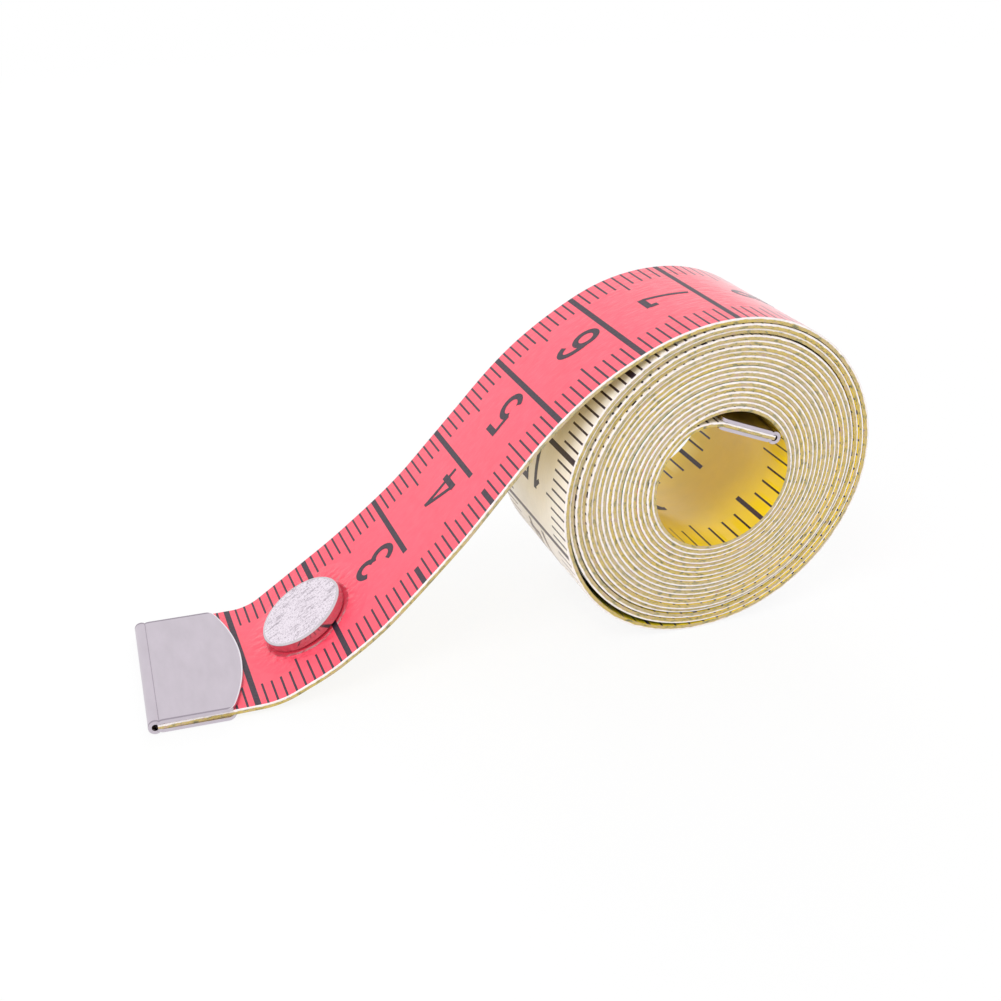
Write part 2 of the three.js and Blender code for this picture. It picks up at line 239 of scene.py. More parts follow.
def eye_radius(degrees):
    oval = EYE_OVAL * cosine(2 * (degrees - OVAL_AT))
    return EYE_RADIUS + oval + EYE_SHIFT * cosine(degrees - EYE_SHIFT_AT)


# The share of the spare room between turns that is used up after so many turns: most turns
# lie tight, and one lies looser.
def spent_room(turns):
    return (1 - LOOSE_SHARE) * turns + LOOSE_SHARE * TURNS * smooth(*LOOSE_TURN, turns)


def roll_middle(degrees):
    rim, eye = rim_radius(degrees), eye_radius(degrees)
    spare = (rim - eye) / TURNS - TAPE_THICK
    turns = wound(degrees)
    outside = rim - TAPE_THICK * turns - spare * spent_room(turns)
    return outside - HALF_THICK + slack(degrees)


def peel_middle(degrees):
    below = rim_radius(degrees) - TURN_PITCH * (wound(degrees) + 1)
    return below + PEEL_SEAT + CAD_THICK / 2


def turn_middle(degrees):
    settled = smooth(*PEEL_SETTLES, degrees)
    return peel_middle(degrees) * (1 - settled) + roll_middle(degrees) * settled


def tail_path(straight_slope, step=0.05):
    start = polar(peel_middle(TOP_ANGLE), TOP_ANGLE)
    lead = polar(peel_middle(TOP_ANGLE + 1), TOP_ANGLE + 1) - start
    slope = np.degrees(np.arctan2(lead[1], lead[0]))
    stretches = [
        SHOULDER,
        (UPPER_BEND, straight_slope),
        (STRAIGHT_RUN, straight_slope),
        (LOWER_BEND, BUTTON_FLAT[1]),
        BUTTON_FLAT,
        (TOE_BEND, 0.0),
        (ZERO_FLAT, 0.0),
    ]
    lengths = np.cumsum([0.0] + [length for length, _ in stretches])
    slopes = [slope] + [end for _, end in stretches]
    count = int(lengths[-1] / step)
    from_top = np.linspace(0, lengths[-1], count + 1)
    middles = np.radians(np.interp((from_top[1:] + from_top[:-1]) / 2, lengths, slopes))
    steps = -np.stack([np.cos(middles), np.sin(middles)], -1) * (lengths[-1] / count)
    points = np.vstack([start, start + np.cumsum(steps, 0)])
    return points[::-1]


def hinge_place(name):
    joint = next(j for j in frame["record"]["behaviour"]["joints"] if j["name"] == name)
    return np.array([joint["pos_m"][0], joint["pos_m"][2]]) / MM


def settled_tail(surface):
    gentle, steep = BUTTON_FLAT[1], STEEPEST_SLOPE
    for _ in range(SLOPE_ROUNDS):
        middle = (gentle + steep) / 2
        if tail_path(middle)[0][1] - CAD_CLIP_HALF > surface:
            gentle = middle
        else:
            steep = middle
    return tail_path(gentle)


CENTRE = hinge_place("tail_1") - polar(peel_middle(TOP_ANGLE), TOP_ANGLE)
TAIL_POINTS = settled_tail(-CENTRE[1])
ROLL_END = (TURNS - 1) * 360 + INNER_LEAVES


# The last turn leaves the wall of the eye in an even bend and then runs straight.
def inner_path(wall, lead):
    along = np.array([cosine(INNER_SLOPE), -np.sin(np.radians(INNER_SLOPE))])
    root = hinge_place("inner_end_flex") - CENTRE
    begin = root + INNER_STRAIGHT_FROM * along
    pull = np.linalg.norm(begin - wall)
    t = np.linspace(0, 1, INNER_BEND_POINTS)[:, None]
    bend = (
        (2 * t**3 - 3 * t**2 + 1) * wall
        + (t**3 - 2 * t**2 + t) * pull * lead
        + (3 * t**2 - 2 * t**3) * begin
        + (t**3 - t**2) * pull * along
    )
    return np.vstack([bend[1:], root + INNER_LENGTH * along])


def whole_path():
    angles = np.arange(TOP_ANGLE + ANGLE_STEP, ROLL_END + ANGLE_STEP / 2, ANGLE_STEP)
    turns = polar(turn_middle(angles), angles)
    lead = (turns[-1] - turns[-2]) / np.linalg.norm(turns[-1] - turns[-2])
    inner = inner_path(turns[-1], lead)
    points = np.vstack([TAIL_POINTS, turns, inner])
    hops = np.linalg.norm(np.diff(points, axis=0), axis=1)
    places = np.concatenate([[0], np.cumsum(hops)])
    first_turn = len(TAIL_POINTS)
    angle_of = (places[first_turn : first_turn + len(angles)], angles)
    return places, points + CENTRE, angle_of


PLACES, POINTS, ANGLE_OF = whole_path()
LEADS = np.gradient(POINTS, PLACES, axis=0)
LEADS /= np.linalg.norm(LEADS, axis=1)[:, None]
TAPE_LENGTH = PLACES[-1]


def place_at_angle(degrees):
    return float(np.interp(degrees, ANGLE_OF[1], ANGLE_OF[0]))


ROLL_ENDS_AT = place_at_angle(ROLL_END)
BACK_ZERO = place_at_angle(ROLL_END - BACK_MARK_BEFORE_END) + BACK_MARK_INCHES * INCH


# Waves with fixed phases, so that each run gives the same tape
def waves(value, pitches, seed):
    phases = np.random.default_rng(seed).uniform(0, 2 * np.pi, len(pitches))
    total = sum(np.sin(2 * np.pi * value / p + f) for p, f in zip(pitches, phases))
    return total / len(pitches)


# How far a turn stands out of the roll's side, at its start and then at two places of each of
# the first seven turns: neighbours differ, most of all near the rim
SIDE_TURNS = [0.1] + [turn + share for turn in range(7) for share in (0.35, 0.89)]
SIDE_SHIFTS = (0, -0.2, -0.12, -0.04, 0.1, 0.16, -0.1, 0.28, 0.15, -0.05, -0.08, 0.12, 0.12, 0.24, 0.16)
SIDE_WAVE = 0.05
SIDE_WAVE_GROWS = (6, 8)
SIDE_WAVE_RATE = 2.5


def side_shift(place):
    turns = wound(np.interp(place, *ANGLE_OF))
    outer = np.interp(turns, SIDE_TURNS, SIDE_SHIFTS)
    inner = SIDE_WAVE * smooth(*SIDE_WAVE_GROWS, turns) * np.sin(SIDE_WAVE_RATE * turns)
    return np.where(turns < SIDE_TURNS[-1], outer, SIDE_SHIFTS[-1]) + inner


# How the tape leaves its even path: the near edge hangs behind the fastener, the middle of
# the free end sags, its near edge rises further up, and the inner end rises towards its far edge.
def lift_shift(place, across):
    near = (HALF_WIDTH - across) / TAPE_WIDTH
    hang = EDGE_HANG * near * smooth(*HANG_GROWS, place) * (1 - smooth(*HANG_FADES, place))
    sag = MIDDLE_SAG * smooth(*SAG_GROWS, place) * (1 - smooth(*SAG_FADES, place))
    rise = EDGE_RISE * near * smooth(*RISE_GROWS, place) * (1 - smooth(*RISE_FADES, place))
    twisted = TAPE_LENGTH - INNER_TWISTED_BEFORE_END
    twist = INNER_TWIST * (1 - near) * smooth(ROLL_ENDS_AT, twisted, place)
    return rise + twist - hang - sag


# The free end is not pressed by other turns, and in the roll the springy cloth fills most of the
# room that each turn has.
def swell(place):
    angle = np.interp(place, *ANGLE_OF)
    room = TURN_FILL * (rim_radius(angle) - eye_radius(angle)) / TURNS / TAPE_THICK
    in_roll = smooth(*SWELL_FADES, place)
    return (1 + SWELL) * (1 - in_roll) + room * in_roll


def on_tape(place, across, lift):
    place, across, lift = np.broadcast_arrays(place, across, lift)
    x = np.interp(place, PLACES, POINTS[:, 0])
    z = np.interp(place, PLACES, POINTS[:, 1])
    lead_x = np.interp(place, PLACES, LEADS[:, 0])
    lead_z = np.interp(place, PLACES, LEADS[:, 1])
    lift = lift * swell(place) + lift_shift(place, across)
    return np.stack([x - lead_z * lift, across + side_shift(place), z + lead_x * lift], -1)


# Materials


def node_material(name):
    material = bpy.data.materials.new(name)
    material.use_nodes = True
    nodes, links = material.node_tree.nodes, material.node_tree.links
    return material, nodes, links, nodes["Principled BSDF"]


def noise(nodes, links, coordinates, scale, detail=3.0, roughness=0.5):
    node = nodes.new("ShaderNodeTexNoise")
    node.inputs["Scale"].default_value = scale
    node.inputs["Detail"].default_value = detail
    node.inputs["Roughness"].default_value = roughness
    links.new(coordinates, node.inputs["Vector"])
    return node.outputs["Fac"]


def ramp(nodes, links, factor, stops):
    node = nodes.new("ShaderNodeValToRGB")
    elements = node.color_ramp.elements
    while len(elements) < len(stops):
        elements.new(0.5)
    for element, (position, colour) in zip(elements, stops):
        element.position = position
        element.color = colour
    links.new(factor, node.inputs["Fac"])
    return node.outputs["Color"]


def math_node(nodes, links, operation, first, second):
    node = nodes.new("ShaderNodeMath")
    node.operation = operation
    for socket, value in zip(node.inputs, (first, second)):
        if isinstance(value, float):
            socket.default_value = value
        else:
            links.new(value, socket)
    return node.outputs[0]


def bump(nodes, links, height, depth_mm, shader):
    node = nodes.new("ShaderNodeBump")
    node.inputs["Strength"].default_value = 1.0
    node.inputs["Distance"].default_value = depth_mm * MM
    links.new(height, node.inputs["Height"])
    links.new(node.outputs["Normal"], shader.inputs["Normal"])
    links.new(node.outputs["Normal"], shader.inputs["Coat Normal"])


def stretched(nodes, links, coordinates, scale):
    node = nodes.new("ShaderNodeMapping")
    node.inputs["Scale"].default_value = scale
    links.new(coordinates, node.inputs["Vector"])
    return node.outputs["Vector"]


def tape_coordinates(nodes):
    node = nodes.new("ShaderNodeUVMap")
    node.uv_map = "tape"
    return node.outputs["UV"]


def tinted(colour, factor):
    return (*(min(1.0, c * factor) for c in colour[:3]), 1.0)


def mixed(nodes, links, factor, first, second):
    node = nodes.new("ShaderNodeMix")
    node.data_type = "RGBA"
    links.new(factor, node.inputs[0])
    links.new(first, node.inputs[6])
    links.new(second, node.inputs[7])
    return node.outputs[2]


def grey(value):
    return (value, value, value, 1.0)


COAT_ROUGH = 0.2
SHEEN_ROUGH = 0.25
PUCKER = 5.0
# Painted sheen: how much pale colour is painted in, by how far the surface faces away
PAINTED_SHEEN_SHARE = [(0.78, grey(0.0)), (0.9, grey(0.28)), (1.0, grey(0.55))]
PAINTED_SHEEN_COLOURS = [(0.6, srgb(255, 222, 228)), (0.95, srgb(255, 238, 242))]
GRAIN_SHARE = 0.15
# By decimetres along the tape
CREASES_GROW = [(0.5, grey(0.35)), (0.7, grey(1.0))]


# Painted sheen: the colour goes pale pink where the surface turns away from the eye, in place of the
# glossy coat's grazing reflection.
def washed(nodes, links, colour):
    weight = nodes.new("ShaderNodeLayerWeight")
    weight.inputs["Blend"].default_value = 0.5
    share = ramp(nodes, links, weight.outputs["Facing"], PAINTED_SHEEN_SHARE)
    pale = ramp(nodes, links, weight.outputs["Facing"], PAINTED_SHEEN_COLOURS)
    return mixed(nodes, links, share, colour, pale)


# Coated cloth: fine leathery wrinkles, stronger where the tape has been bent, with slight
# patches of colour, and a painted sheen at grazing views where sheen is set
def coated(name, colour, rough=(0.36, 0.48), wrinkle=0.09, coat=0.4, sheen=0.45):
    material, nodes, links, shader = node_material(name)
    tape = tape_coordinates(nodes)
    patches = noise(nodes, links, tape, scale=2.2, detail=4.0)
    stops = [(0.3, tinted(colour, 0.94)), (0.7, tinted(colour, 1.05))]
    shade = ramp(nodes, links, patches, stops)
    if sheen:
        shade = washed(nodes, links, shade)
    links.new(shade, shader.inputs["Base Color"])
    gloss = noise(nodes, links, tape, scale=9.0)
    stops = [(0.3, grey(rough[0])), (0.7, grey(rough[1]))]
    links.new(ramp(nodes, links, gloss, stops), shader.inputs["Roughness"])
    shader.inputs["Coat Weight"].default_value = coat
    shader.inputs["Coat Roughness"].default_value = COAT_ROUGH
    shader.inputs["Sheen Weight"].default_value = sheen
    shader.inputs["Sheen Roughness"].default_value = SHEEN_ROUGH
    drawn_out = stretched(nodes, links, tape, (0.5, 1.0, 1))
    creases = noise(nodes, links, drawn_out, scale=16.0, detail=5.0, roughness=0.55)
    grain = noise(nodes, links, tape, scale=55.0, detail=2.0)
    along = nodes.new("ShaderNodeSeparateXYZ")
    links.new(tape, along.inputs[0])
    decimetres = math_node(nodes, links, "MULTIPLY", along.outputs["X"], 0.1)
    bent = ramp(nodes, links, decimetres, CREASES_GROW)
    creases = math_node(nodes, links, "MULTIPLY", creases, bent)
    height = math_node(nodes, links, "MULTIPLY_ADD", grain, GRAIN_SHARE)
    links.new(creases, height.node.inputs[2])
    height = puckered(nodes, links, tape, height)
    bump(nodes, links, height, wrinkle, shader)
    return material


# Small creases in the cloth round the fastener
def puckered(nodes, links, tape, height):
    away = nodes.new("ShaderNodeVectorMath")
    away.operation = "DISTANCE"
    links.new(tape, away.inputs[0])
    away.inputs[1].default_value = (BUTTON_FROM_ZERO / 10, 0, 0)
    around = [(0.46, grey(0.0)), (0.5, grey(1.0)), (0.6, grey(0.6)), (0.75, grey(0.0))]
    around = ramp(nodes, links, away.outputs["Value"], around)
    folds = noise(nodes, links, tape, scale=11.0, detail=2.0, roughness=0.4)
    folds = math_node(nodes, links, "MULTIPLY", folds, around)
    total = math_node(nodes, links, "MULTIPLY_ADD", folds, PUCKER)
    links.new(height, total.node.inputs[2])
    return total


COAT_RAGGED = 0.024
COAT_SHARPNESS = 20.0
COAT_LEVEL = 0.2


# Cut edge: a thin ragged white coat over cloth, whose thread ends show as flecks. Here the
# second texture coordinate is the depth in the edge.
def cut_edge():
    material, nodes, links, shader = node_material("cut_edge")
    tape = tape_coordinates(nodes)
    depth = nodes.new("ShaderNodeSeparateXYZ")
    links.new(tape, depth.inputs[0])
    lengthwise = stretched(nodes, links, tape, (1.0, 0.0, 1))
    ragged = noise(nodes, links, lengthwise, scale=11.0, roughness=0.6)
    level = math_node(nodes, links, "MULTIPLY_ADD", ragged, COAT_RAGGED)
    links.new(depth.outputs["Y"], level.node.inputs[2])
    share = math_node(nodes, links, "MULTIPLY_ADD", level, COAT_SHARPNESS)
    share.node.inputs[2].default_value = COAT_LEVEL
    coat = ramp(nodes, links, share, [(0.52, grey(0.0)), (0.61, grey(1.0))])

    packed = stretched(nodes, links, tape, (1.0, 2.4, 1))
    threads = noise(nodes, links, packed, scale=12.0, detail=4.0, roughness=0.75)
    cloth = [
        (0.36, srgb(112, 108, 80)),
        (0.43, srgb(158, 147, 102)),
        (0.50, srgb(206, 178, 84)),
        (0.57, srgb(184, 166, 122)),
        (0.64, srgb(180, 145, 128)),
    ]
    cloth = ramp(nodes, links, threads, cloth)
    tone = noise(nodes, links, tape, scale=0.35, detail=1.0)
    tone = ramp(nodes, links, tone, [(0.4, grey(0.0)), (0.6, grey(0.55))])
    dull = ramp(nodes, links, threads, [(0.4, srgb(156, 152, 128)), (0.6, srgb(196, 178, 158))])
    cloth = mixed(nodes, links, tone, cloth, dull)
    white = ramp(nodes, links, threads, [(0.3, srgb(222, 213, 213)), (0.7, srgb(246, 241, 240))])
    links.new(mixed(nodes, links, coat, cloth, white), shader.inputs["Base Color"])
    shader.inputs["Roughness"].default_value = 0.75
    shader.inputs["Specular IOR Level"].default_value = 0.25
    bump(nodes, links, threads, 0.025, shader)
    return material


def printed_ink():
    material, nodes, links, shader = node_material("ink")
    tape = tape_coordinates(nodes)
    worn = noise(nodes, links, tape, scale=30.0, detail=4.0)
    stops = [(0.25, srgb(30, 20, 32)), (0.75, srgb(62, 44, 62))]
    # The ink takes the same painted sheen where it turns away from the eye.
    shade = washed(nodes, links, ramp(nodes, links, worn, stops))
    links.new(shade, shader.inputs["Base Color"])
    shader.inputs["Roughness"].default_value = 0.45
    shader.inputs["Sheen Weight"].default_value = 0.15
    shader.inputs["Sheen Roughness"].default_value = SHEEN_ROUGH
    bump(nodes, links, worn, 0.015, shader)
    return material


def metal(name, colour, rough, scale, depth, stretch=(1, 1, 1), shade=(0.94, 1.04)):
    material, nodes, links, shader = node_material(name)
    place = nodes.new("ShaderNodeTexCoord").outputs["Object"]
    drawn_out = stretched(nodes, links, place, stretch)
    marks = noise(nodes, links, drawn_out, scale, detail=5.0, roughness=0.6)
    stops = [(0.3, tinted(colour, shade[0])), (0.7, tinted(colour, shade[1]))]
    links.new(ramp(nodes, links, marks, stops), shader.inputs["Base Color"])
    stops = [(0.3, grey(rough[0])), (0.7, grey(rough[1]))]
    links.new(ramp(nodes, links, marks, stops), shader.inputs["Roughness"])
    shader.inputs["Metallic"].default_value = 1.0
    bump(nodes, links, marks, depth, shader)
    return material


# Stamped top of the cap: bright, with fine dark specks, a painted sparkle of the knurled metal, and
# slanting rows of dashes
def sparkle():
    material, nodes, links, shader = node_material("sparkle")
    place = nodes.new("ShaderNodeTexCoord").outputs["Object"]
    specks = noise(nodes, links, place, scale=6000.0, detail=4.0, roughness=0.7)
    slanting = stretched(nodes, links, place, (0.35, 1.4, 0.35))
    rows = noise(nodes, links, slanting, scale=1900.0, roughness=0.6)
    # Dark specks of painted sparkle
    dots = ramp(nodes, links, specks, [(0.38, srgb(196, 189, 196)), (0.50, srgb(250, 245, 250))])
    dashes = ramp(nodes, links, rows, [(0.32, srgb(200, 193, 200)), (0.46, srgb(252, 247, 252))])
    both = nodes.new("ShaderNodeMix")
    both.data_type = "RGBA"
    both.blend_type = "MULTIPLY"
    both.inputs[0].default_value = 1.0
    links.new(dots, both.inputs[6])
    links.new(dashes, both.inputs[7])
    links.new(both.outputs[2], shader.inputs["Base Color"])
    shader.inputs["Metallic"].default_value = 1.0
    shader.inputs["Roughness"].default_value = 0.3
    bump(nodes, links, specks, 0.03, shader)
    return material


RED, WHITE, GREEN, YELLOW, EDGE, INK = range(6)
BLOCKS = (RED, WHITE, GREEN, WHITE, GREEN, WHITE)
TAPE_MATERIALS = [
    coated("coat_red", srgb(246, 70, 95)),
    coated("coat_white", srgb(250, 244, 240)),
    coated("coat_green", srgb(70, 142, 116)),
    coated("back_yellow", srgb(236, 203, 34), (0.28, 0.38), wrinkle=0.012, coat=0.25, sheen=0.0),
    cut_edge(),
    printed_ink(),
]
TIN = metal("tin", srgb(206, 197, 207), (0.3, 0.38), 700.0, 0.002, (1, 0.3, 1))
# Darker tin for the painted shade along the clip's sides and in its groove
PAINTED_SHADE_TIN = metal("painted_shade_tin", srgb(164, 154, 166), (0.35, 0.45), 700.0, 0.002)
# Brighter tin for the painted highlight along the clip's front
PAINTED_HIGHLIGHT_TIN = metal("painted_highlight_tin", srgb(240, 234, 241), (0.2, 0.3), 700.0, 0.002)
SILVER = metal("silver", srgb(214, 208, 214), (0.1, 0.18), 1500.0, 0.002)
# Wall of the cap: metal tinted pink and darker, a painted reflection of the shaded red tape round it
CAP_WALL_PAINTED_REFLECTION = metal("cap_wall_painted_reflection", srgb(200, 176, 180), (0.1, 0.18), 1500.0, 0.002)
SPARKLE = sparkle()
WIRE = metal("wire", srgb(190, 190, 192), (0.25, 0.35), 2500.0, 0.003)


def mesh_piece(name, points, faces, materials, indices=None, sharp_degrees=35):
    mesh = bpy.data.meshes.new(name)
    mesh.from_pydata((np.asarray(points) * MM).tolist(), [], faces)
    for material in materials:
        mesh.materials.append(material)
    if indices is not None:
        mesh.polygons.foreach_set("material_index", np.asarray(indices, dtype=np.int32))
    mesh.polygons.foreach_set("use_smooth", np.ones(len(mesh.polygons), dtype=bool))
    mesh.update()
    mesh.set_sharp_from_angle(angle=np.radians(sharp_degrees))
    piece = bpy.data.objects.new(name, mesh)
    bpy.context.scene.collection.objects.link(piece)
    return piece


# Printed scale


def is_inked(place, across, is_back):
    near = HALF_WIDTH + across
    far = HALF_WIDTH - across
    pitch = BACK_TICK if is_back else 1.0
    scale = (BACK_ZERO - place) / pitch if is_back else place
    mark = np.rint(scale)
    if is_back:
        is_long, is_wide, width = mark % 4 == 0, mark % 8 == 0, HALF_INCH_WIDTH
    else:
        is_long, is_wide, width = mark % 5 == 0, mark % 10 == 0, CM_WIDTH
    on_mark = np.abs(scale - mark) * pitch < np.where(is_wide, width, TICK_WIDTH) / 2
    length = np.where(is_long, FIVE_LENGTH, TICK_LENGTH)
    length = np.where(is_wide, HALF_INCH_LENGTH if is_back else TAPE_WIDTH, length)
    if not is_back:
        cut_here = (across > CUT_LINE_END) | (near < CUT_MARK_LENGTH)
        on_mark = on_mark & (~np.isin(mark, CUT_LINES) | cut_here)
    return on_mark & (mark > 0) & (np.minimum(near, far) < length)


def rows_between(start, end, step):
    front = np.arange(np.ceil(start), np.floor(end) + 1)
    front_half = np.where(front % 10 == 0, CM_WIDTH, TICK_WIDTH) / 2
    ticks = np.arange(np.ceil((BACK_ZERO - end) / BACK_TICK), (BACK_ZERO - start) / BACK_TICK)
    back = BACK_ZERO - ticks * BACK_TICK
    back_half = np.where(ticks % 8 == 0, HALF_INCH_WIDTH, TICK_WIDTH) / 2
    edges = np.concatenate([front - front_half, front + front_half, back - back_half, back + back_half])
    edges = edges[(edges > start + ROW_GAP) & (edges < end - ROW_GAP)]
    stops = np.unique(np.concatenate([[start], edges, [end]]))
    rows = [np.linspace(a, b, int(np.ceil((b - a) / step)) + 1)[:-1] for a, b in zip(stops, stops[1:])]
    return np.append(np.concatenate(rows), end)


def columns(is_fine):
    face = HALF_WIDTH - EDGE_BEVEL_ACROSS
    stops = {face, HALF_WIDTH - TICK_LENGTH, HALF_WIDTH - FIVE_LENGTH, HALF_WIDTH - HALF_INCH_LENGTH}
    lines = sorted(stops | {-stop for stop in stops})
    if is_fine:
        extra = [CUT_LINE_END, CUT_MARK_LENGTH - HALF_WIDTH]
        lines = sorted(lines + extra + list(np.linspace(-face, face, FINE_COLUMNS)[1:-1]))
    return np.array(lines)


# Figures of the scale, as strokes in a cell 3 wide and 5.1 high about its middle line


def arc(centre, radii, start, end, count=18):
    angle = np.radians(np.linspace(start, end, count))
    return np.stack([centre[0] + radii[0] * np.cos(angle), centre[1] + radii[1] * np.sin(angle)], -1)


def line(*corners):
    pieces = [np.linspace(a, b, LINE_POINTS)[:-1] for a, b in zip(corners, corners[1:])]
    return np.vstack(pieces + [corners[-1]])


TWO_HOOK = np.vstack([arc((0, 3.6), (1.1, 1.12), 170, -30), line((0.75, 2.75), (-1.05, 0.4))])
FIGURES = {
    "0": [(arc((0, 2.55), (1.12, 2.18), 90, 450, 40), FIGURE_STROKE)],
    "1": [
        (line((0.15, 0.05), (0.15, 5.05)), FIGURE_STROKE),
        (line((0.1, 4.7), (-0.85, 3.95)), FIGURE_THIN),
    ],
    "2": [
        (TWO_HOOK, FIGURE_STROKE),
        (line((-1.3, 0.38), (1.35, 0.38)), FIGURE_STROKE),
    ],
    "3": [
        (arc((-0.05, 3.72), (1.02, 1.02), 165, -75), FIGURE_STROKE),
        (arc((-0.05, 1.55), (1.15, 1.18), 80, -165), FIGURE_STROKE),
    ],
    "4": [
        (line((0.62, 0.05), (0.62, 5.0)), FIGURE_THIN),
        (line((0.55, 4.85), (-1.25, 1.5)), FIGURE_THIN),
        (line((-1.55, 1.45), (1.45, 1.45)), FIGURE_STROKE),
    ],
    "5": [
        (line((-1.2, 4.68), (1.05, 4.68)), FIGURE_STROKE),
        (line((-0.98, 4.7), (-0.98, 2.5)), FIGURE_THIN),
        (arc((-0.08, 1.62), (1.18, 1.26), 140, -150), FIGURE_STROKE),
    ],
    "6": [
        (arc((0, 1.58), (1.1, 1.2), 90, 450, 36), FIGURE_STROKE),
        (arc((0.1, 2.6), (1.2, 2.12), 35, 195, 24), FIGURE_STROKE),
    ],
    "7": [
        (line((-1.3, 4.66), (1.3, 4.66)), FIGURE_STROKE),
        (line((-1.02, 4.6), (-1.02, 3.75)), FIGURE_STROKE),
        (line((1.12, 4.5), (-0.1, 0.05)), FIGURE_THIN),
    ],
    "8": [
        (arc((0, 3.74), (0.95, 0.98), 90, 450, 32), FIGURE_STROKE),
        (arc((0, 1.52), (1.12, 1.16), 90, 450, 36), FIGURE_STROKE),
    ],
    "9": [
        (arc((0, 3.52), (1.1, 1.2), 90, 450, 36), FIGURE_STROKE),
        (arc((-0.1, 2.5), (1.2, 2.12), 215, 375, 24), FIGURE_STROKE),
    ],
}


# One stroke as a thin closed bar that stands a hair out of the tape. Corners are given as
# place, across and lift. Side is 1 on the printed front and -1 on the back.
def stroke_bar(path, width, mark, middle, level, side):
    lead = np.gradient(path, axis=0)
    lead /= np.linalg.norm(lead, axis=1)[:, None]
    aside = np.stack([-lead[:, 1], lead[:, 0]], -1) * width / 2
    corners = []
    top = INK_HEIGHT + level
    for turn, lift in ((1, top), (-1, top), (-1, -INK_DEPTH), (1, -INK_DEPTH)):
        flat = path + turn * aside
        place = mark - FIGURE_GAP - flat[:, 1]
        lifts = np.full(len(flat), side * (HALF_THICK + lift))
        corners.append(np.stack([place, side * (middle + flat[:, 0]), lifts], -1))
    points = np.stack(corners, 1).reshape(-1, 3)
    faces = [(3, 2, 1, 0)]
    for i in range(len(path) - 1):
        for k in range(4):
            a, b = 4 * i + k, 4 * i + (k + 1) % 4
            faces.append((a, b, b + 4, a + 4))
    last = 4 * (len(path) - 1)
    faces.append((last, last + 1, last + 2, last + 3))
    return points, faces


# Numbers with their marks: centimetres from the zero end on the front, inches from the inner
# end on the back.
def numbered_marks():
    for number in range(FIRST_FIGURE, LAST_FIGURE + 1):
        yield number, 10 * number, 1
    last = int(BACK_ZERO / INCH)
    for number in [*range(1, EYE_FIGURES + 1), *range(last - TAIL_INCHES, last + 1)]:
        yield number, BACK_ZERO - INCH * number, -1


def figure_bars(start, end):
    for number, mark, side in numbered_marks():
        if start <= mark - FIGURE_GAP - FIGURE_HEIGHT / 2 < end:
            digits = str(number)
            for i, digit in enumerate(digits):
                middle = FIGURE_SPACING * (i - (len(digits) - 1) / 2)
                for level, (path, width) in enumerate(FIGURES[digit]):
                    yield stroke_bar(path, width, mark, middle, INK_LAYER * level, side)


# A length of tape as one closed strip, with its print as faces of their own material
def tape_piece(name, start, end, step, is_fine, finer_last=0.0):
    rows = rows_between(start, end - finer_last, step)
    if finer_last:
        finer = rows_between(end - finer_last, end, step / EYE_WALL_FINER)
        rows = np.concatenate([rows[:-1], finer])
    lines = columns(is_fine)
    deep = HALF_THICK - EDGE_BEVEL_DEEP
    across = np.concatenate([lines, [HALF_WIDTH] * 2, lines[::-1], [-HALF_WIDTH] * 2])
    flat = np.full(len(lines), HALF_THICK)
    lift = np.concatenate([flat, [deep, -deep], -flat, [-deep, deep]])
    fray = FRAY * waves(rows, FRAY_PITCHES, FRAY_SEED)
    is_rim = np.abs(across) == HALF_WIDTH
    ragged = across[None] + np.sign(across)[None] * is_rim[None] * fray[:, None]
    strip = np.stack(np.broadcast_arrays(rows[:, None], ragged, lift[None]), -1)
    count, around = strip.shape[:2]

    i, j = np.meshgrid(np.arange(count - 1), np.arange(around), indexing="ij")
    k = (j + 1) % around
    quads = np.stack([i * around + j, (i + 1) * around + j, (i + 1) * around + k, i * around + k], -1)
    faces = quads.reshape(-1, 4).tolist()

    middles = (rows[1:] + rows[:-1])[:, None] / 2
    between = (lines[1:] + lines[:-1]) / 2
    block = np.array(BLOCKS)[(middles // BLOCK_LENGTH).astype(int) % len(BLOCKS)]
    front = np.where(is_inked(middles, between[None], False), INK, block)
    back = np.where(is_inked(middles, between[None, ::-1], True), INK, YELLOW)
    edge = np.full((count - 1, 3), EDGE)
    kinds = np.concatenate([front, edge, back, edge], 1).reshape(-1).tolist()

    faces += [list(range(around)), list(range(count * around - 1, (count - 1) * around - 1, -1))]
    kinds += [EDGE, EDGE]
    corners = [strip.reshape(-1, 3)]
    used = count * around
    for bar, bar_faces in figure_bars(start, end):
        faces += [[used + v for v in face] for face in bar_faces]
        kinds += [INK] * len(bar_faces)
        corners.append(bar)
        used += len(bar)
    corners = np.vstack(corners)
    piece = mesh_piece(name, on_tape(*corners.T), faces, TAPE_MATERIALS, kinds)
    lay_coordinates(piece, corners, kinds)
    return piece


# Texture coordinates in centimetres: along the tape, and across it or into its cut edge
def lay_coordinates(piece, corners, kinds):
    mesh = piece.data
    order = np.empty(len(mesh.loops), dtype=np.int32)
    mesh.loops.foreach_get("vertex_index", order)
    sides = np.empty(len(mesh.polygons), dtype=np.int32)
    mesh.polygons.foreach_get("loop_total", sides)
    is_edge = np.repeat(np.array(kinds) == EDGE, sides)
    place, across, lift = corners[order].T / 10
    layer = mesh.uv_layers.new(name="tape")
    layer.data.foreach_set("uv", np.stack([place, np.where(is_edge, lift, across)], -1).reshape(-1))


def joint_ends(place):
    x, _, z = on_tape(place, 0.0, 0.0) * MM
    return (x, 0.0, z)


# The place of a hinge from the part's record, in metres, on the tape's middle plane.
def hinge_end(name):
    x, z = hinge_place(name) * MM
    return (x, 0.0, z)


